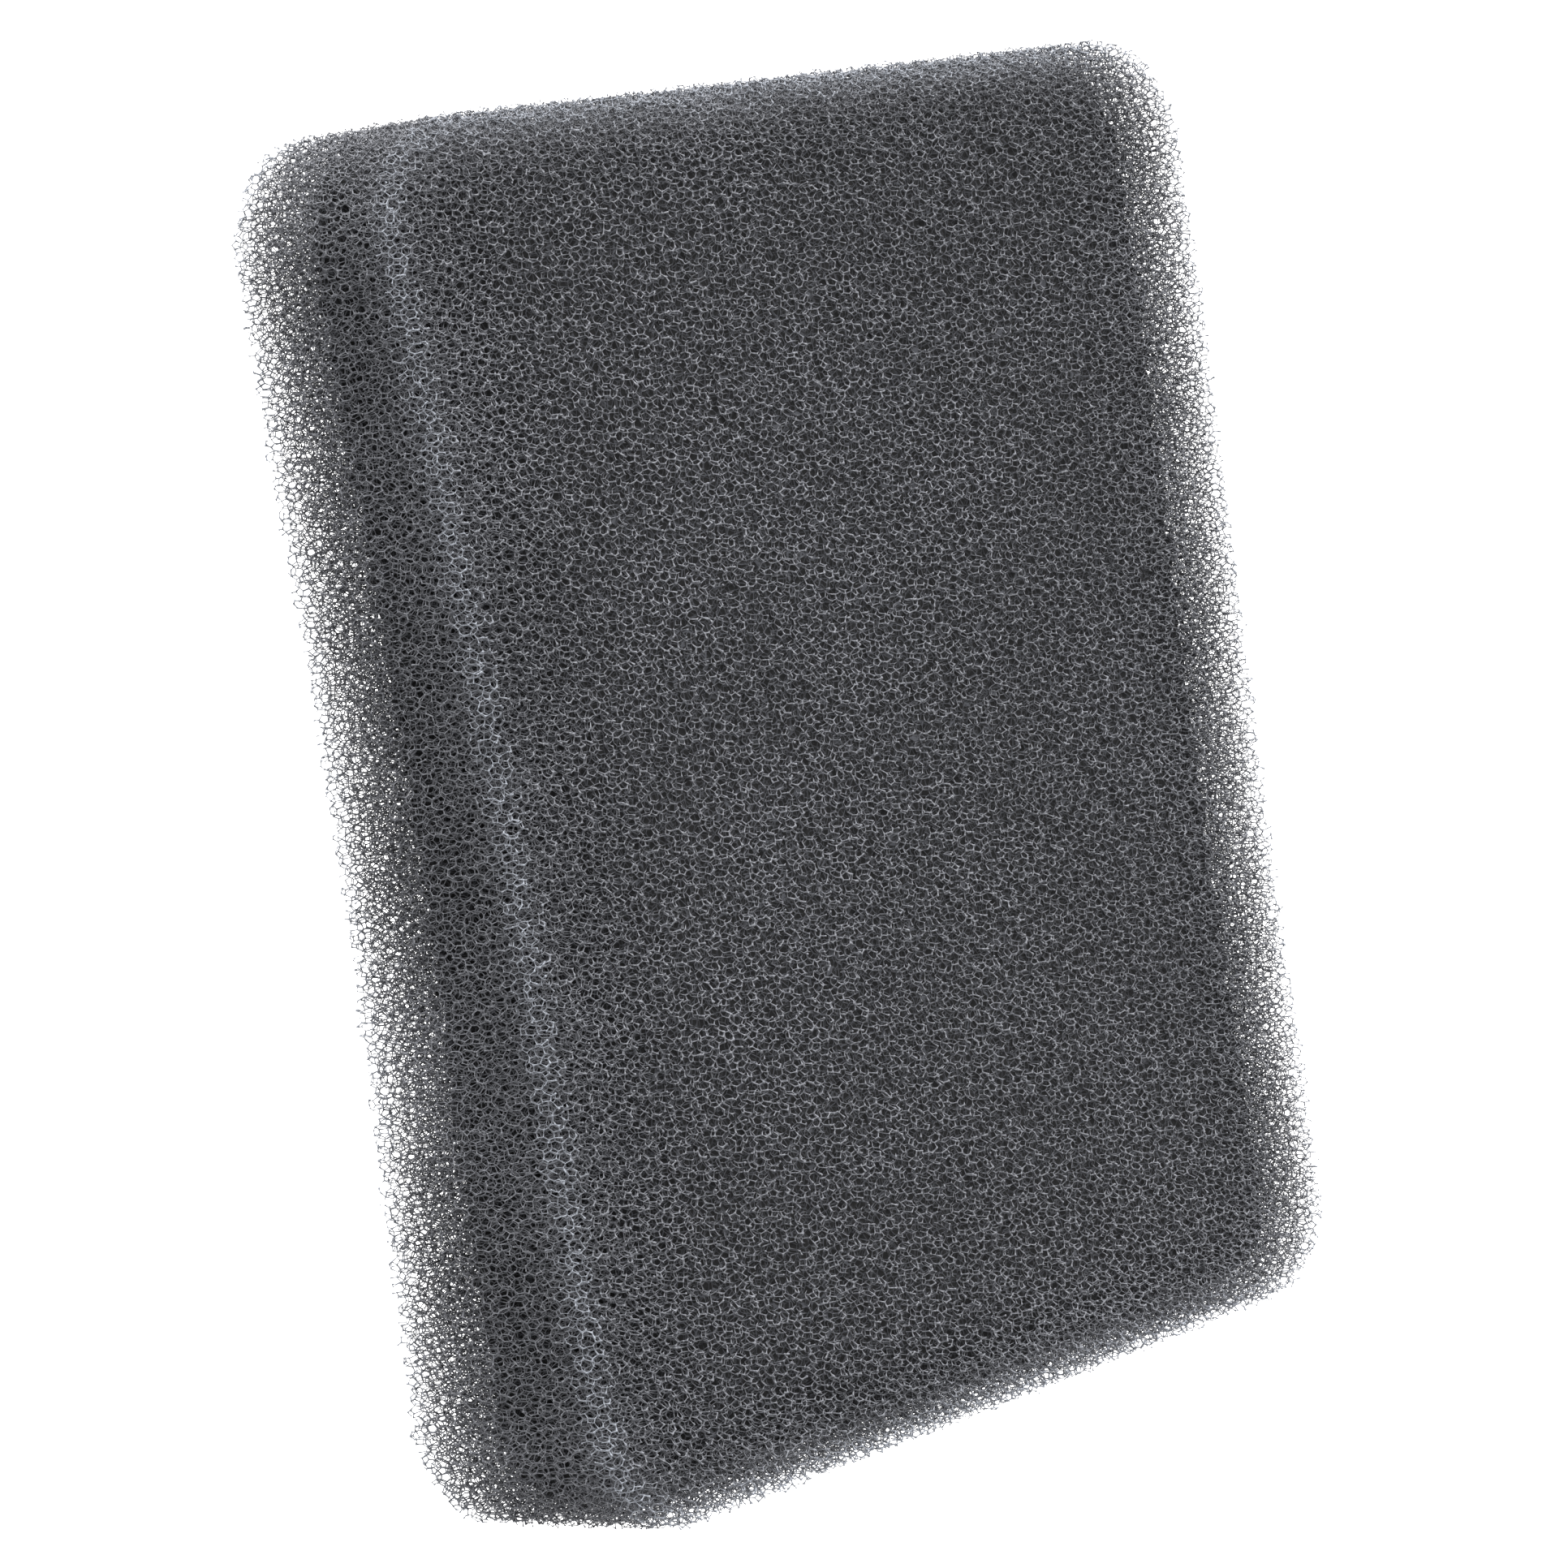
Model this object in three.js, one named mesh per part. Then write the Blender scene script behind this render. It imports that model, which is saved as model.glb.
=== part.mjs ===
// Replacement filter sponge for a small aquarium or pond filter: one block of open-cell foam,
// cut from sheet with rounded corners and softened edges. Millimetres, +Z up. The block stands
// on one of its narrow ends, its broad faces look along -Y and +Y, and the origin is on the
// ground under the middle of the block.
import * as THREE from "three";

const WIDTH = 125; // across the broad face, along X
const THICKNESS = 24; // one thickness of foam sheet, along Y
const HEIGHT = 140; // up the broad face, along Z
const CORNER_RADIUS = 12; // the four corners of the broad face's outline
const EDGE_RADIUS = 1.2; // the softened edge all round each broad face
const CORNER_STEPS = 10; // straight steps that draw one outline corner
const EDGE_STEPS = 5; // straight steps that draw one softened edge

function foamMaterial() {
  return new THREE.MeshStandardMaterial({
    name: "charcoal open-cell foam",
    color: 0x3c3e41,
    roughness: 0.9,
    metalness: 0,
  });
}

// The outline of the broad face: a rectangle with rounded corners, drawn from its middle.
function broadFaceOutline() {
  const x = WIDTH / 2;
  const y = HEIGHT / 2;
  const r = CORNER_RADIUS;
  const outline = new THREE.Shape();
  outline.moveTo(-x + r, -y);
  outline.lineTo(x - r, -y);
  outline.absarc(x - r, -y + r, r, -Math.PI / 2, 0, false);
  outline.lineTo(x, y - r);
  outline.absarc(x - r, y - r, r, 0, Math.PI / 2, false);
  outline.lineTo(-x + r, y);
  outline.absarc(-x + r, y - r, r, Math.PI / 2, Math.PI, false);
  outline.lineTo(-x, -y + r);
  outline.absarc(-x + r, -y + r, r, Math.PI, Math.PI * 1.5, false);
  return outline;
}

// The block is that outline carried through the sheet's thickness, with both rims rounded over
// inside the outline, so the finished size stays WIDTH by THICKNESS by HEIGHT.
function foamBlock() {
  const geometry = new THREE.ExtrudeGeometry(broadFaceOutline(), {
    depth: THICKNESS - 2 * EDGE_RADIUS,
    curveSegments: CORNER_STEPS,
    bevelEnabled: true,
    bevelThickness: EDGE_RADIUS,
    bevelSize: EDGE_RADIUS,
    bevelOffset: -EDGE_RADIUS,
    bevelSegments: EDGE_STEPS,
  });
  geometry.translate(0, 0, -(THICKNESS / 2 - EDGE_RADIUS));
  const block = new THREE.Mesh(geometry, foamMaterial());
  block.name = "foam_block";
  block.rotation.x = Math.PI / 2;
  block.position.z = HEIGHT / 2;
  return block;
}

const filterSponge = new THREE.Group();
filterSponge.name = "filter_sponge";
filterSponge.add(foamBlock());

export default filterSponge;
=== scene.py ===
"""A replacement filter sponge: one cut block of charcoal open-cell foam, built strut by strut.

The foam is drawn as it forms. Bubbles of about one size are packed in a small box that repeats.
A joint stands where four bubbles meet, and a three-edged strut runs between two joints that share
three of their bubbles. That net fills a skin round the block, and the cut leaves its ends standing
unevenly. Inside the skin lies a heart painted dark, which stands for the rest of the net, too deep
to be seen into: its nets and hollows are painted shade.

Lengths are in millimetres, from the middle of the block, until a mesh is made.
"""

import math
import bpy
import numpy as np
from mathutils import Euler, Matrix, Vector
from mathutils.kdtree import KDTree


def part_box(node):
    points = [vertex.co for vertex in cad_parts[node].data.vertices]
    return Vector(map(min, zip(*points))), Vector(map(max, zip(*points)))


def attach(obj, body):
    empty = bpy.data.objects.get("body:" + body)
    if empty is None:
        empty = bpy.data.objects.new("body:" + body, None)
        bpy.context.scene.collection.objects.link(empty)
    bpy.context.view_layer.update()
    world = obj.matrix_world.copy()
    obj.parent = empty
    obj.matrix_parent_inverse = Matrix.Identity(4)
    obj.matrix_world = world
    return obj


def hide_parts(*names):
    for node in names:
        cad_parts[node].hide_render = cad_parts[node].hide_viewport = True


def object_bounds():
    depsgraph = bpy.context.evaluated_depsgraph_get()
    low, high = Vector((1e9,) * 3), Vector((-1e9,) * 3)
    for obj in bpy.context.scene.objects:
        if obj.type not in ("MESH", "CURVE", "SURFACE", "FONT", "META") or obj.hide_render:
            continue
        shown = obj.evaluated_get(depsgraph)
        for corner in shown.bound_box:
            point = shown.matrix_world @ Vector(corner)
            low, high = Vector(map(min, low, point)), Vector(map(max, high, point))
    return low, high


MM = 0.001
NODE = "foam_block"

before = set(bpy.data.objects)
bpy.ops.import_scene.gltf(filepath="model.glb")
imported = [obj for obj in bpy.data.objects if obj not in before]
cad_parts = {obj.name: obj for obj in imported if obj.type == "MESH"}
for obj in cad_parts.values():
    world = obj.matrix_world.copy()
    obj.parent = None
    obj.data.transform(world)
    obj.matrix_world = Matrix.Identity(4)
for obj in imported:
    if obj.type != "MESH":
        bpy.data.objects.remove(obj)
CAD_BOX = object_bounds()
BLOCK_LOW, BLOCK_HIGH = (np.array(corner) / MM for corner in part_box(NODE))
BLOCK_MIDDLE = (BLOCK_LOW + BLOCK_HIGH) / 2
BLOCK_HALF = (BLOCK_HIGH - BLOCK_LOW) / 2

# The block.
CORNER_RADIUS = 12.0  # the outline of the broad face
EDGE_RADIUS = 1.2  # the softened rim round each broad face
OUT_OF_SQUARE = 2.6  # the cut wanders this far through the thickness along one long edge
WAVINESS = 0.35  # hand-high swells left on the faces by the cutting wire

# The foam.
BUBBLE = 1.30  # cube root of one bubble's share of the foam
BUBBLES_ACROSS = 14  # of the small box that repeats
WINDOW = 1.03  # across the openings between bubbles, as they show on a cut
RISE = 1.2  # bubbles are longer through the sheet, the way the foam rose
GRAIN_TURN = (0.52, 0.83, 0.31)  # the repeating box is turned out of line, so that no row shows on a face
STRUT = 0.072  # from a joint's middle out to the corners of the windows round it, deep in the foam
STRUT_SPREAD = 0.18  # how much joints differ in size, as a share of it
SWOLLEN = 1.75  # a joint at the surface, against one deep in the foam
WAIST = 0.6  # a strut at the surface halfway along, against its thickness at its joints
RIM_HIGHLIGHT_REACH = 3.2  # painted highlight: the rims round the broad faces are painted paler this far in, for the light the edges catch
RAGGED = 0.6  # how unevenly the cut leaves joints standing
STUB_LENGTHS = (0.55, 1.15)  # how far a cut strut reaches, against its way to the surface

# The skin of foam that is drawn strut by strut.
FACE_DEPTH = 0.95  # behind the broad faces
SIDE_DEPTHS = (3.0, 2.4)  # behind the two narrow sides, the one with the wandering cut first
END_DEPTH = 0.95  # behind the two ends
FINE_DEPTH = 0.35  # struts no deeper than this have their waist drawn, so that the windows look round
PATCHES = 5  # the skin is halved this many times into pieces

# The heart.
HEART_HALF = BLOCK_HALF - np.array([sum(SIDE_DEPTHS) / 2, FACE_DEPTH, END_DEPTH])
HEART_MIDDLE = np.array([(SIDE_DEPTHS[0] - SIDE_DEPTHS[1]) / 2, 0, 0])
HEART_POWERS = np.array([10, 1.6, 24])  # a wedge towards the wandering side, so light gets past its rim
HEART_FAR_POWER = 2.0  # a little fuller towards the other side
HEART_FALLBACK = 0.7  # how unevenly the wedge ends
HEART_OVERLAP = 0.3  # struts run this far into the heart, so that no gap shows between them
HEART_STEP = 0.8  # between the heart's mesh lines
HEART_RELIEF = 1.2  # how deeply the bubbles that it cuts through dimple it

# The light: the table and the sky are equally bright, so that no horizon shows behind the foam.
WHITE = 2.0
LAMP = 12.5


# ---- The block's shape ----

def outline_depth(points):
    """How far each point lies outside the outline of the broad face."""
    flat = np.abs(points[:, [0, 2]]) - (BLOCK_HALF[[0, 2]] - CORNER_RADIUS)
    outline = np.linalg.norm(np.clip(flat, 0, None), axis=1) + np.minimum(flat.max(axis=1), 0)
    return outline - CORNER_RADIUS


def rounded_block_depth(points):
    """How far each point lies outside the block's surface; a negative number is inside."""
    through = np.abs(points[:, 1]) - (BLOCK_HALF[1] - EDGE_RADIUS)
    rim = np.stack([outline_depth(points) + EDGE_RADIUS, through], axis=1)
    return np.linalg.norm(np.clip(rim, 0, None), axis=1) + np.minimum(rim.max(axis=1), 0) - EDGE_RADIUS


def rim_highlight_share(points):
    """The share of painted highlight at each point: 1 on the rim round a broad face, down to 0 a little over
    its reach in.
    """
    in_from_rim = BLOCK_HALF[1] - np.abs(points[:, 1]) - outline_depth(points)
    return np.clip(1.3 - in_from_rim / RIM_HIGHLIGHT_REACH, 0, 1)


def as_cut(points):
    """The block as the wire really cut it: a little out of square and not quite flat."""
    x, y, z = (points / BLOCK_HALF).T
    near = np.clip((1 - y) / 2, 0, 1) * np.clip((1 - x) / 2, 0, 1)
    bent = points.copy()
    bent[:, 1] += OUT_OF_SQUARE * near * z
    bent[:, 1] += WAVINESS * (np.sin(2.1 * x + 2.7 * z + 0.6) - 0.6 * np.sin(3.9 * z - 1.7 * x))
    bent[:, 0] += WAVINESS * np.sin(3.3 * z + 1.1)
    return bent


def heart_powers(away):
    """The power of each axis in the heart's rounding, at points away from its middle."""
    powers = np.tile(HEART_POWERS, (len(away), 1))
    powers[away[:, 0] > 0, 1] = HEART_FAR_POWER
    return powers


def heart_reach(points, held_back=0.0):
    """Where each point lies against the heart's surface: under 1 inside, and over 1 outside."""
    away = points - HEART_MIDDLE
    return (np.abs(away / (HEART_HALF - held_back)) ** heart_powers(away)).sum(axis=1)


# ---- The net of struts in one repeating box, where a bubble's share is 1 across ----

PACKING_ROUNDS = 40
EVEN_GAP = 1.16  # bubbles nearer to each other than this are pushed apart
PUSH = 0.28  # the share of the shortfall that one round makes good
EASING_ROUNDS = 4  # joints are drawn together by their struts this many times, which evens the struts


def nearest_bubbles(bubbles, side, count):
    """The nearest neighbours of each bubble, across the sides of the repeating box too."""
    found = np.empty((len(bubbles), count), int)
    for start in range(0, len(bubbles), 512):
        gap = bubbles[None] - bubbles[start:start + 512, None]
        gap -= side * np.round(gap / side)
        far = (gap * gap).sum(axis=2)
        rows = np.arange(len(far))
        far[rows, start + rows] = np.inf
        found[start:start + 512] = np.argpartition(far, count, axis=1)[:, :count]
    return found


def packed_bubbles(rng, across):
    """Bubble centres in a box that repeats, pushed apart until they are evenly packed."""
    bubbles = rng.random((across ** 3, 3)) * across
    for step in range(PACKING_ROUNDS):
        if step % 5 == 0:
            beside = nearest_bubbles(bubbles, across, 18)
        gap = bubbles[beside] - bubbles[:, None]
        gap -= across * np.round(gap / across)
        far = np.linalg.norm(gap, axis=2, keepdims=True) + 1e-9
        push = np.clip(EVEN_GAP - far, 0, None) / far * gap
        bubbles = (bubbles - PUSH * push.sum(axis=1)) % across
    return bubbles


def joints_between(bubbles, across, near=22):
    """The points where four bubbles meet, each with its four bubbles.

    Each bubble is tried with every three of its nearest neighbours: the point as far from all four
    is a joint if no other bubble is nearer to it.
    """
    beside = nearest_bubbles(bubbles, across, near)
    gap = bubbles[beside] - bubbles[:, None]
    gap -= across * np.round(gap / across)
    order = np.argsort((gap ** 2).sum(axis=2), axis=1)
    beside = np.take_along_axis(beside, order, 1)
    gap = np.take_along_axis(gap, order[..., None], 1)
    square = (gap ** 2).sum(axis=2)
    a, b, c = np.array([(i, j, k) for i in range(near) for j in range(i) for k in range(j)]).T
    fours, spots = [], []
    for start in range(0, len(bubbles), 64):
        g, q = gap[start:start + 64], square[start:start + 64]
        ga, gb, gc = g[:, a], g[:, b], g[:, c]
        bc = np.cross(gb, gc)
        spot = q[:, a, None] * bc + q[:, b, None] * np.cross(gc, ga) + q[:, c, None] * np.cross(ga, gb)
        volume = 2 * (ga * bc).sum(axis=2, keepdims=True)
        spot = spot / np.where(np.abs(volume) < 1e-12, 1e-12, volume)
        not_far = (spot ** 2).sum(axis=2) < 4 * q[:, 11:12]
        i, t = np.nonzero(not_far)
        spot = spot[i, t]
        nearer = 2 * np.einsum("nkd,nd->nk", g[i], spot) - q[i]
        rows = np.arange(len(i))
        for corner in (a, b, c):
            nearer[rows, corner[t]] = -1
        free = nearer.max(axis=1) < 0
        i, t, spot = i[free], t[free], spot[free]
        own = start + i
        fours.append(np.stack([own, beside[own, a[t]], beside[own, b[t]], beside[own, c[t]]], axis=1))
        spots.append(bubbles[own] + spot)
    fours = np.sort(np.concatenate(fours), axis=1)
    _, first = np.unique(fours @ (len(bubbles) ** np.arange(4)[::-1]), return_index=True)
    return fours[first], np.concatenate(spots)[first] % across


def struts_between(fours, bubbles):
    """A strut joins two joints that share three bubbles: (joint, arm, other joint, its arm)."""
    keys = []
    for arm in range(4):
        three = np.delete(fours, arm, axis=1)
        keys.append(three @ (bubbles ** np.arange(3)[::-1]))
    keys = np.stack(keys, axis=1).ravel()
    _, place, times = np.unique(keys, return_inverse=True, return_counts=True)
    paired = np.nonzero(times[place] == 2)[0]
    order = paired[np.argsort(keys[paired], kind="stable")].reshape(-1, 2)
    return order[:, 0] // 4, order[:, 0] % 4, order[:, 1] // 4, order[:, 1] % 4


# A joint has six corners, one between each pair of its four arms, in three opposite pairs.
# An arm leaves through three of them, and each of the four bubbles touches three of them.
BETWEEN = {(0, 1): 0, (2, 3): 1, (0, 2): 2, (1, 3): 3, (0, 3): 4, (1, 2): 5}
ARM_RING = np.array([(0, 2, 4), (0, 3, 5), (1, 2, 5), (1, 3, 4)])
ARM_RING_WITH = np.array([(1, 2, 3), (0, 3, 2), (3, 0, 1), (2, 1, 0)])
BUBBLE_FACE = np.array([(1, 5, 3), (1, 4, 2), (0, 4, 3), (0, 5, 2)])
CORNER_OF = np.full((4, 4), -1)
for (one, two), corner in BETWEEN.items():
    CORNER_OF[one, two] = CORNER_OF[two, one] = corner


class Net:
    """One repeating box of foam: its joints, arms and the corners each strut is sewn to."""

    def __init__(self, rng, across, stretch):
        bubbles = packed_bubbles(rng, across)
        fours, spots = joints_between(bubbles, across)
        one, arm_one, two, arm_two = struts_between(fours, len(bubbles))
        box = -np.round((spots[two] - spots[one]) / across).astype(int)
        for _ in range(EASING_ROUNDS):
            reach = spots[two] + across * box - spots[one]
            pull = np.zeros_like(spots)
            np.add.at(pull, one, reach)
            np.add.at(pull, two, -reach)
            spots = spots + pull / 8
        self.bubbles = bubbles
        self.across = across
        self.stub = rng.uniform(*STUB_LENGTHS, 997)
        self.step = stretch * across
        self.spots = spots @ stretch.T
        self.count = len(spots)
        self.join_arms(one, arm_one, two, arm_two, box)
        self.shape_joints(fours, rng)

    def join_arms(self, one, arm_one, two, arm_two, box):
        """Where each arm leads: the other joint, its arm, and the repeating box it stands in."""
        self.next = np.full((self.count, 4), -1)
        self.next_arm = np.zeros((self.count, 4), int)
        self.next_box = np.zeros((self.count, 4, 3), int)
        self.next[one, arm_one], self.next[two, arm_two] = two, one
        self.next_arm[one, arm_one], self.next_arm[two, arm_two] = arm_two, arm_one
        self.next_box[one, arm_one], self.next_box[two, arm_two] = box, -box
        self.arm = self.spots[self.next] + self.next_box @ self.step.T - self.spots[:, None]
        self.arm[self.next < 0] = 0

    def shape_joints(self, fours, rng):
        """Each joint's six corners, the three that ring each arm, and the far joint's matching three."""
        ray = self.arm / (np.linalg.norm(self.arm, axis=2, keepdims=True) + 1e-9)
        axes = [
            ray[:, 0] + ray[:, 1] - ray[:, 2] - ray[:, 3],
            ray[:, 0] + ray[:, 2] - ray[:, 1] - ray[:, 3],
            ray[:, 0] + ray[:, 3] - ray[:, 1] - ray[:, 2],
        ]
        axes = [axis / (np.linalg.norm(axis, axis=1, keepdims=True) + 1e-9) for axis in axes]
        size = STRUT * (1 + STRUT_SPREAD * rng.standard_normal(self.count).clip(-2, 2))[:, None]
        self.corners = np.stack([sign * axis * size for axis in axes for sign in (1, -1)], axis=1)
        mirrored = np.einsum("nd,nd->n", np.cross(axes[0], axes[1]), axes[2]) < 0
        turn = np.where(mirrored[:, None, None], [[[0, 2, 1]]], [[[0, 1, 2]]])
        turn = np.broadcast_to(turn, (self.count, 4, 3))

        def facing_out(table):
            return np.take_along_axis(np.broadcast_to(table, turn.shape), turn, 2)

        self.ring = facing_out(ARM_RING)
        self.face = facing_out(BUBBLE_FACE)
        beside = facing_out(ARM_RING_WITH)
        across_from = fours[np.arange(self.count)[:, None, None], beside]
        match = fours[self.next][:, :, None, :] == across_from[..., None]
        self.far_ring = CORNER_OF[self.next_arm[..., None], match.argmax(axis=3)]


# ---- The skin ----

# What a strut runs into.
OUTSIDE, SKIN, HEART, NOTHING = range(4)


def skin_of(net, rng):
    """Every joint of the net that lies in the block's skin, and what each of its arms meets."""
    margin = 2
    low, high = -BLOCK_HALF - margin, BLOCK_HALF + margin
    box_corners = np.array([[x, y, z] for x in (0, 1) for y in (0, 1) for z in (0, 1)])
    bounds = (low + box_corners * (high - low)) @ np.linalg.inv(net.step).T
    first = np.floor(bounds.min(axis=0)).astype(int) - 2
    shape = np.ceil(bounds.max(axis=0)).astype(int) + 2 - first
    state = np.zeros(shape.prod() * net.count, np.uint8)
    ids, spots, depths = [], [], []
    tile_middle = net.step @ np.array([0.5, 0.5, 0.5])
    tile_reach = np.linalg.norm(box_corners @ net.step.T - tile_middle, axis=1).max() + 1
    for index in range(shape.prod()):
        box = np.array(np.unravel_index(index, shape)) + first
        middle = net.step @ box + tile_middle
        if rounded_block_depth(middle[None])[0] > tile_reach:
            continue
        spot = net.spots + net.step @ box
        depth = rounded_block_depth(spot)
        outside = depth + RAGGED * (rng.random(net.count) - 0.55) > 0
        inner = heart_reach(spot, HEART_OVERLAP) < 1
        kept = ~outside & ~inner
        here = slice(index * net.count, (index + 1) * net.count)
        state[here] = np.where(outside, OUTSIDE, np.where(inner, HEART, SKIN))
        ids.append(index * net.count + np.nonzero(kept)[0])
        spots.append(spot[kept])
        depths.append(depth[kept])
    ids = np.concatenate(ids)
    spots = np.concatenate(spots)
    near_cut = np.clip(1 + np.concatenate(depths) / (2 * FINE_DEPTH), 0, 1)
    near_face = np.clip(1 + (np.abs(spots[:, 1]) - BLOCK_HALF[1]) / (2 * FINE_DEPTH), 0, 1)
    swell = 1 + (SWOLLEN - 1) * near_cut * (0.3 + 0.7 * near_face)
    stride = np.array([shape[1] * shape[2], shape[2], 1])
    local = ids % net.count
    other = ids[:, None] + (net.next_box[local] @ stride) * net.count + net.next[local] - local[:, None]
    missing = net.next[local] < 0
    other[missing] = 0
    meets = state[other]
    meets[missing] = NOTHING
    return ids, spots, local, other, meets, swell


def halved(spots, times):
    """Splits the joints into equal pieces by cutting the block across its longest side."""
    label = np.zeros(len(spots), int)
    for _ in range(times):
        fresh = label * 2
        for piece in np.unique(label):
            mine = np.nonzero(label == piece)[0]
            side = np.ptp(spots[mine], axis=0).argmax()
            order = mine[np.argsort(spots[mine, side], kind="stable")]
            fresh[order[len(order) // 2:]] += 1
        label = fresh
    return label


def sewn(net, skin, label, piece):
    """The closed mesh of one piece: its joints, its struts, and their cut or handed-on ends."""
    ids, spots, local, other, meets, swell = skin
    mine = np.nonzero(label == piece)[0]
    here = local[mine]
    corners = spots[mine, None] + swell[mine, None, None] * net.corners[here]
    count = 6 * len(mine)
    points = [corners.reshape(-1, 3)]
    faces = [(6 * np.arange(len(mine))[:, None, None] + net.face[here]).reshape(-1, 3)]
    far = np.minimum(np.searchsorted(ids, other[mine]), len(ids) - 1)
    in_skin = meets[mine] == SKIN
    same = in_skin & (label[far] == piece)
    first = ids[mine][:, None] < other[mine]
    row_of = np.full(len(ids), -1)
    row_of[mine] = np.arange(len(mine))

    def new_ring(at):
        nonlocal count
        ring = count + 3 * np.arange(len(at))[:, None] + np.arange(3)
        points.append(at.reshape(-1, 3))
        count += 3 * len(at)
        return ring

    def tube(near_ring, far_ring):
        for side in range(3):
            after = (side + 1) % 3
            a, b, c, d = near_ring[:, side], near_ring[:, after], far_ring[:, after], far_ring[:, side]
            faces.append(np.stack([a, b, c], axis=1))
            faces.append(np.stack([a, c, d], axis=1))

    def strut(near_ring, near_at, far_ring, far_at):
        """A strut between two rings of corners, drawn with its waist where it lies near the cut."""
        between = (near_at + far_at) / 2
        middle = between.mean(axis=1, keepdims=True)
        fine = rounded_block_depth(middle[:, 0]) > -FINE_DEPTH
        waist = new_ring((middle + WAIST * (between - middle))[fine])
        tube(near_ring[fine], waist)
        tube(waist, far_ring[fine])
        tube(near_ring[~fine], far_ring[~fine])

    # Struts between two joints of this piece.
    row, arm = np.nonzero(same & first)
    ring = net.ring[here[row], arm]
    far_row = row_of[far[row, arm]]
    far_ring = net.far_ring[here[row], arm]
    strut(6 * row[:, None] + ring, corners[row[:, None], ring],
          6 * far_row[:, None] + far_ring, corners[far_row[:, None], far_ring])

    # Struts that reach the next piece, closed where they meet its joint.
    row, arm = np.nonzero(in_skin & ~same & first)
    ring = net.ring[here[row], arm]
    over = far[row, arm]
    offset = net.corners[local[over][:, None], net.far_ring[here[row], arm]]
    far_at = spots[over][:, None] + swell[over, None, None] * offset
    far_ring = new_ring(far_at)
    strut(6 * row[:, None] + ring, corners[row[:, None], ring], far_ring, far_at)
    faces.append(far_ring)

    # Arms without a strut of their own: the next piece draws it, or the heart hides it.
    row, arm = np.nonzero((in_skin & ~same & ~first) | (meets[mine] == NOTHING) | (meets[mine] == HEART))
    faces.append(6 * row[:, None] + net.ring[here[row], arm])

    # Cut struts, each left as a pointed stub.
    row, arm = np.nonzero(meets[mine] == OUTSIDE)
    ring = 6 * row[:, None] + net.ring[here[row], arm]
    reach = net.arm[here[row], arm]
    start = spots[mine][row]
    inner_depth, outer_depth = rounded_block_depth(start), rounded_block_depth(start + reach)
    cut = np.clip(-inner_depth / np.maximum(outer_depth - inner_depth, 1e-6), 0.25, 1.0)
    cut *= net.stub[(ids[mine][row] + arm) % len(net.stub)]
    tip = count + np.arange(len(row))
    points.append(start + reach * cut[:, None])
    for side in range(3):
        faces.append(np.stack([ring[:, side], ring[:, (side + 1) % 3], tip], axis=1))
    return np.concatenate(points), np.concatenate(faces)


# ---- The heart ----

def gridded_box():
    """A box of the heart's size as a grid of squares that face outwards."""
    points, faces, total = [], [], 0
    for axis in range(3):
        u, v = [k for k in range(3) if k != axis]
        nu, nv = (int(np.ceil(2 * HEART_HALF[k] / HEART_STEP)) for k in (u, v))
        gu, gv = np.meshgrid(np.linspace(-1, 1, nu + 1), np.linspace(-1, 1, nv + 1), indexing="ij")
        quad = np.arange((nu + 1) * (nv + 1)).reshape(nu + 1, nv + 1)
        quad = np.stack([quad[:-1, :-1], quad[1:, :-1], quad[1:, 1:], quad[:-1, 1:]], axis=-1).reshape(-1, 4)
        for side in (-1, 1):
            grid = np.zeros((gu.size, 3))
            grid[:, u], grid[:, v], grid[:, axis] = gu.ravel(), gv.ravel(), side
            points.append(grid * HEART_HALF)
            outward = side if axis != 1 else -side
            faces.append(total + (quad if outward > 0 else quad[:, ::-1]))
            total += gu.size
    points, faces = np.concatenate(points), np.concatenate(faces)
    _, first, back = np.unique(np.round(points, 4), axis=0, return_index=True, return_inverse=True)
    return points[first], back.ravel()[faces]


def rounded_to_heart(points):
    """Draws the box's points in to the heart's rounded surface, by halving the way again and again."""
    low, high = np.zeros(len(points)), np.ones(len(points))
    for _ in range(24):
        half = (low + high) / 2
        inside = heart_reach(HEART_MIDDLE + points * half[:, None]) < 1
        low, high = np.where(inside, half, low), np.where(inside, high, half)
    return points * low[:, None]


def way_out(points):
    """The direction straight out of the heart's surface at each point of it."""
    powers = heart_powers(points)
    out = powers * np.sign(points) * np.abs(points / HEART_HALF) ** (powers - 1) / HEART_HALF
    return out / np.linalg.norm(out, axis=1, keepdims=True)


def from_nearest_bubble(net, stretch, points):
    """How far each point is from the middle of the bubble that it lies in, in bubble widths."""
    shifts = [np.array([x, y, z]) for x in (-1, 0, 1) for y in (-1, 0, 1) for z in (-1, 0, 1)]
    ghost = np.concatenate([net.bubbles + net.across * shift for shift in shifts])
    ghost = ghost[((ghost > -2) & (ghost < net.across + 2)).all(axis=1)]
    tree = KDTree(len(ghost))
    for k, spot in enumerate(ghost):
        tree.insert(spot, k)
    tree.balance()
    home = (points @ np.linalg.inv(stretch).T) % net.across
    return np.array([tree.find(spot)[2] for spot in home])


def heart_mesh(net, stretch):
    """The heart: a rounded block dimpled by the bubbles that its surface cuts through."""
    points, faces = gridded_box()
    points = rounded_to_heart(points)
    out = way_out(points)
    x, y, z = points.T
    patchy = 1 + np.sin(1.9 * z + 1.3 * y) * np.sin(0.43 * z + 1.0) + np.sin(1.1 * z - 0.9 * y + 2.0)
    fallback = HEART_FALLBACK * patchy * np.abs(x / HEART_HALF[0]) ** 12
    points = points + HEART_MIDDLE
    usual = 0.62
    dimple = HEART_RELIEF * (from_nearest_bubble(net, stretch, points) - usual)
    return points + out * (dimple - fallback)[:, None], faces


# ---- Finishes ----

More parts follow.
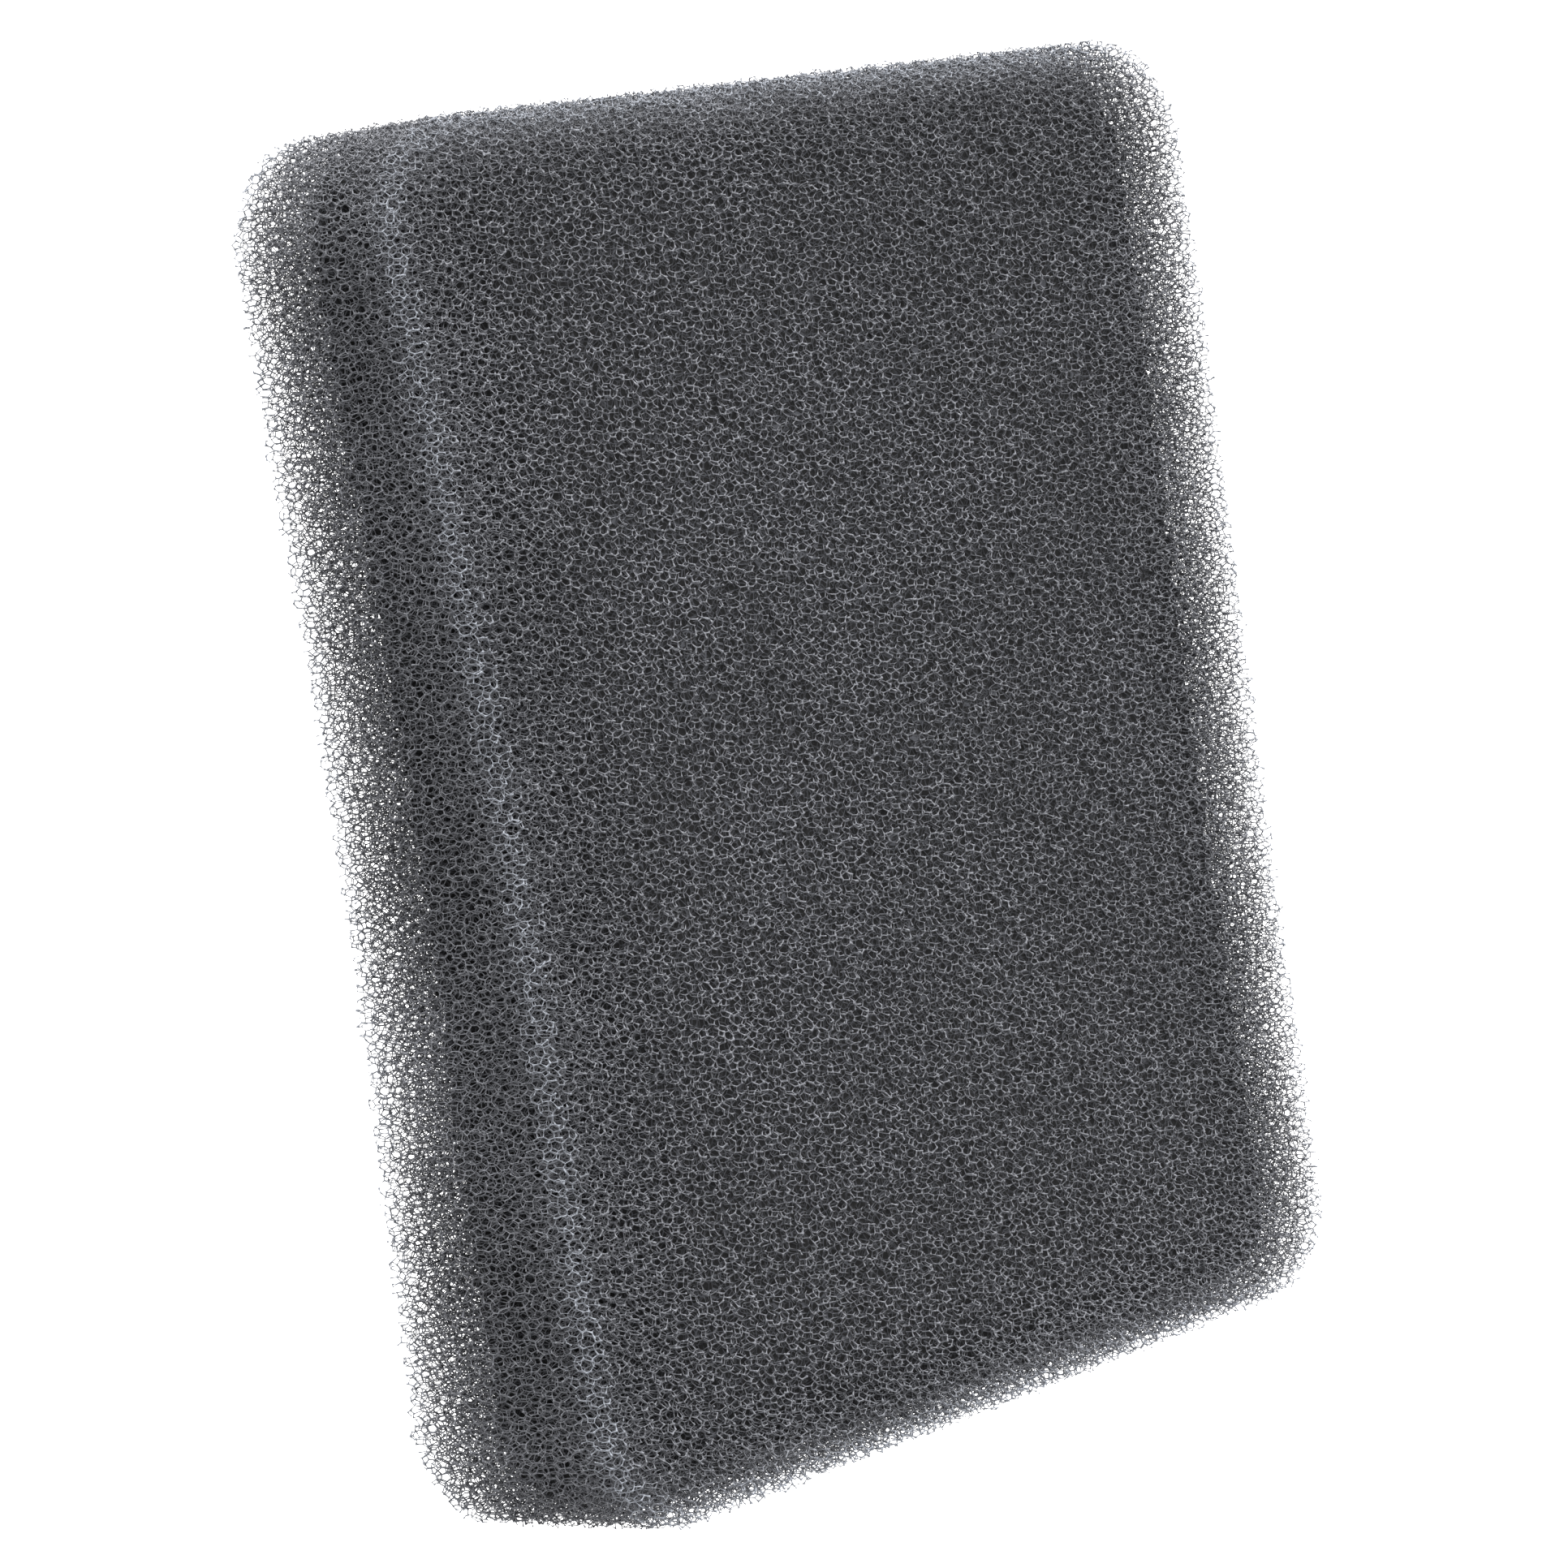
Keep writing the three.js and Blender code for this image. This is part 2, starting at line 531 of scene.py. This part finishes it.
def linear(hex_colour):
    """An sRGB hex colour as the linear colour that a shader takes."""
    parts = [int(hex_colour[i:i + 2], 16) / 255 for i in (1, 3, 5)]
    parts = [p / 12.92 if p <= 0.04045 else ((p + 0.055) / 1.055) ** 2.4 for p in parts]
    return (*parts, 1.0)


def add(tree, kind, settings=None, links=None, **attributes):
    """Adds one node, sets its inputs and attributes, and links inputs from other nodes' outputs."""
    node = tree.nodes.new(kind)
    for name, value in attributes.items():
        setattr(node, name, value)
    for name, value in (settings or {}).items():
        node.inputs[name].default_value = value
    for name, source in (links or {}).items():
        tree.links.new(source, node.inputs[name])
    return node


def new_material(name):
    material = bpy.data.materials.new(name)
    material.use_nodes = True
    material.node_tree.nodes.clear()
    return material, material.node_tree


def ramp(node, stops):
    """Sets a colour ramp's stops, each a place from 0 to 1 and a hex colour."""
    elements = node.color_ramp.elements
    while len(elements) < len(stops):
        elements.new(0.5)
    for element, (place, colour) in zip(elements, stops):
        element.position = place
        element.color = linear(colour)


def dyed_reticulated_foam():
    """Polyurethane foam dyed charcoal in the mix, its cell films burnt away. The bare struts are
    smooth, so they catch a soft grey sheen, and the dye is a little uneven: in clouds about 17 mm
    across and in flecks about 1 mm across. The cut edges round the broad faces are painted paler and
    bluer: a painted highlight for the light that the edges catch."""
    material, tree = new_material("dyed reticulated polyurethane, flame-opened cells")
    where = add(tree, "ShaderNodeTexCoord")
    cloud = add(tree, "ShaderNodeTexNoise", {"Scale": 60.0, "Detail": 3.0, "Roughness": 0.55},
                {"Vector": where.outputs["Object"]})
    fleck = add(tree, "ShaderNodeTexNoise", {"Scale": 900.0, "Detail": 2.0},
                {"Vector": where.outputs["Object"]})
    half_cloud = add(tree, "ShaderNodeMath", {1: 0.5}, {0: cloud.outputs["Fac"]}, operation="MULTIPLY")
    mixed = add(tree, "ShaderNodeMath", {1: 0.5},
                {0: fleck.outputs["Fac"], 2: half_cloud.outputs[0]}, operation="MULTIPLY_ADD")
    dye = add(tree, "ShaderNodeValToRGB", links={"Fac": mixed.outputs[0]})
    ramp(dye, [(0.3, "#3b3c40"), (0.5, "#494a4e"), (0.7, "#57585d")])
    # Painted highlight: the rims round the broad faces are mixed towards a paler, bluer grey, for the light
    # that the edges catch.
    painted_rim_highlight = add(tree, "ShaderNodeAttribute", attribute_name="painted_rim_highlight")
    paler = add(tree, "ShaderNodeMixRGB", {"Color2": linear("#5f6268")},
                {"Fac": painted_rim_highlight.outputs["Fac"], "Color1": dye.outputs["Color"]})
    gloss = add(tree, "ShaderNodeMapRange", {"To Min": 0.42, "To Max": 0.62},
                {"Value": fleck.outputs["Fac"]})
    grain = add(tree, "ShaderNodeBump", {"Strength": 0.15, "Distance": 0.03 * MM},
                {"Height": fleck.outputs["Fac"]})
    strut = add(tree, "ShaderNodeBsdfPrincipled", {"IOR": 1.4},
                {"Base Color": paler.outputs["Color"], "Roughness": gloss.outputs["Result"],
                 "Normal": grain.outputs["Normal"]})
    add(tree, "ShaderNodeOutputMaterial", links={"Surface": strut.outputs["BSDF"]})
    return material


def shaded_foam_depth():
    """The same foam too deep to draw strut by strut, in painted shade: one net behind another, the
    second painted dimmer for the light that fails deeper in, over hollows painted black as shade. The
    nets have the foam's own window size, and lines as thin as its struts."""
    material, tree = new_material("reticulated polyurethane depth, painted shade")
    where = add(tree, "ShaderNodeTexCoord")
    nets = []
    # Painted shade: the net behind is painted at half the brightness of the front one, for the light that
    # fails deeper in.
    for shift, light in ((0.0, 1.0), (0.41, 0.5)):
        moved = add(tree, "ShaderNodeVectorMath", {1: (shift * MM, -shift * MM, 0.5 * shift * MM)},
                    {0: where.outputs["Object"]}, operation="ADD")
        cells = add(tree, "ShaderNodeTexVoronoi", {"Scale": 1 / (WINDOW * MM)},
                    {"Vector": moved.outputs[0]}, feature="DISTANCE_TO_EDGE")
        net = add(tree, "ShaderNodeMapRange",
                  {"From Min": 0.25 * STRUT / WINDOW, "From Max": 0.7 * STRUT / WINDOW,
                   "To Min": light, "To Max": 0.0},
                  {"Value": cells.outputs["Distance"]})
        nets.append((net, cells))
    (front, front_cells), (behind, _) = nets
    seen = add(tree, "ShaderNodeMath", links={0: front.outputs["Result"], 1: behind.outputs["Result"]},
               operation="MAXIMUM")
    shade = add(tree, "ShaderNodeValToRGB", links={"Fac": seen.outputs[0]})
    # Painted shade: the hollows between the nets are near black, and the nets only a dim grey.
    ramp(shade, [(0.0, "#030304"), (1.0, "#333438")])
    hollow = add(tree, "ShaderNodeBump", {"Strength": 0.6, "Distance": 0.3 * MM},
                 {"Height": front_cells.outputs["Distance"]}, invert=True)
    depth = add(tree, "ShaderNodeBsdfPrincipled", {"Roughness": 0.9, "IOR": 1.3},
                {"Base Color": shade.outputs["Color"], "Normal": hollow.outputs["Normal"]})
    add(tree, "ShaderNodeOutputMaterial", links={"Surface": depth.outputs["BSDF"]})
    return material


def light_table():
    """Opal acrylic lit evenly from below, as a product table is: a flat white that takes no shadow."""
    material, tree = new_material("opal acrylic, lit from below")
    opal = add(tree, "ShaderNodeBsdfPrincipled",
               {"Base Color": linear("#202020"), "Roughness": 0.9, "IOR": 1.2,
                "Emission Color": linear("#ffffff"), "Emission Strength": WHITE})
    add(tree, "ShaderNodeOutputMaterial", links={"Surface": opal.outputs["BSDF"]})
    return material


# ---- The pieces ----

def mesh_piece(name, points, faces, material):
    """A smooth-shaded object, bent as the block was cut, from points round the block's middle."""
    mesh = bpy.data.meshes.new(name)
    mesh.vertices.add(len(points))
    mesh.vertices.foreach_set("co", ((as_cut(points) + BLOCK_MIDDLE) * MM).astype(np.float32).ravel())
    sides = faces.shape[1]
    mesh.loops.add(faces.size)
    mesh.loops.foreach_set("vertex_index", faces.astype(np.int32).ravel())
    mesh.polygons.add(len(faces))
    mesh.polygons.foreach_set("loop_start", (np.arange(len(faces)) * sides).astype(np.int32))
    mesh.polygons.foreach_set("use_smooth", np.ones(len(faces), bool))
    mesh.update(calc_edges=True)
    # The share of painted highlight at each point, read by the strut finish.
    painted_rim_highlight = mesh.attributes.new("painted_rim_highlight", "FLOAT", "POINT")
    painted_rim_highlight.data.foreach_set("value", rim_highlight_share(points).astype(np.float32))
    mesh.materials.append(material)
    piece = bpy.data.objects.new(name, mesh)
    bpy.context.scene.collection.objects.link(piece)
    return piece


def foam_piece(piece):
    """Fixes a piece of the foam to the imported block, as foam that keeps its cut shape."""
    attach(piece, "root")
    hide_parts(NODE)


def filter_sponge():
    """The whole block: its skin of struts, in pieces, over its heart."""
    rng = np.random.default_rng(20)
    turned = np.array(Euler(GRAIN_TURN).to_matrix())
    rise = np.diag([RISE ** -0.5, RISE, RISE ** -0.5])
    stretch = BUBBLE * rise @ turned
    net = Net(rng, BUBBLES_ACROSS, stretch)
    skin = skin_of(net, rng)
    strut_finish = dyed_reticulated_foam()
    label = halved(skin[1], PATCHES)
    for number in range(label.max() + 1):
        points, faces = sewn(net, skin, label, number)
        foam_piece(mesh_piece(f"foam_skin_{number + 1:02d}", points, faces, strut_finish))
    points, faces = heart_mesh(net, stretch)
    foam_piece(mesh_piece("foam_heart", points, faces, shaded_foam_depth()))


# ---- The studio ----

def stand_camera():
    """A long lens off the block's near edge, looking across both faces, tipped to one side."""
    lens = bpy.data.cameras.new("camera")
    lens.sensor_width = 36.0
    lens.lens = 140.0
    lens.clip_end = 20.0
    camera = bpy.data.objects.new("camera", lens)
    bpy.context.scene.collection.objects.link(camera)
    turn, dip, tip = 0.863, -0.085, -0.145
    in_block_heights = np.array([-3.033, -2.854, 0.867])
    stand = BLOCK_LOW + 2 * BLOCK_HALF[2] * in_block_heights
    ahead = Vector((math.cos(dip) * math.sin(turn), math.cos(dip) * math.cos(turn), math.sin(dip)))
    right = Vector((math.cos(turn), -math.sin(turn), 0))
    up = right.cross(ahead)
    right, up = (right * math.cos(tip) + up * math.sin(tip), up * math.cos(tip) - right * math.sin(tip))
    camera.matrix_world = Matrix((
        (right.x, up.x, -ahead.x, stand[0] * MM),
        (right.y, up.y, -ahead.y, stand[1] * MM),
        (right.z, up.z, -ahead.z, stand[2] * MM),
        (0, 0, 0, 1),
    ))
    bpy.context.scene.camera = camera


def soft_sun(name, towards, spread, power):
    """A far lamp as wide across as a big soft box, which lights the whole floor evenly."""
    light = bpy.data.lights.new(name, "SUN")
    light.angle = math.radians(spread)
    light.energy = power
    lamp = bpy.data.objects.new(name, light)
    lamp.rotation_euler = (-towards).to_track_quat("-Z", "Y").to_euler()
    bpy.context.scene.collection.objects.link(lamp)


def studio():
    """A white table under an even white sky, with one broad soft lamp above and a little in front."""
    side = 12.0
    just_under = 0.4 * MM
    corners = [(-side, -side, 0), (side, -side, 0), (side, side, 0), (-side, side, 0)]
    mesh = bpy.data.meshes.new("floor")
    mesh.from_pydata(corners, [], [(0, 1, 2, 3)])
    mesh.materials.append(light_table())
    floor = bpy.data.objects.new("floor", mesh)
    floor.location.z = CAD_BOX[0].z - just_under
    bpy.context.scene.collection.objects.link(floor)
    soft_sun("lamp_above", Vector((-0.1, -0.35, 1.0)), 50, LAMP)
    world = bpy.data.worlds.new("white sky")
    bpy.context.scene.world = world
    world.use_nodes = True
    sky = world.node_tree.nodes["Background"]
    sky.inputs["Color"].default_value = (1, 1, 1, 1)
    sky.inputs["Strength"].default_value = WHITE
    bpy.context.scene.view_settings.view_transform = "Standard"


stand_camera()
studio()
filter_sponge()
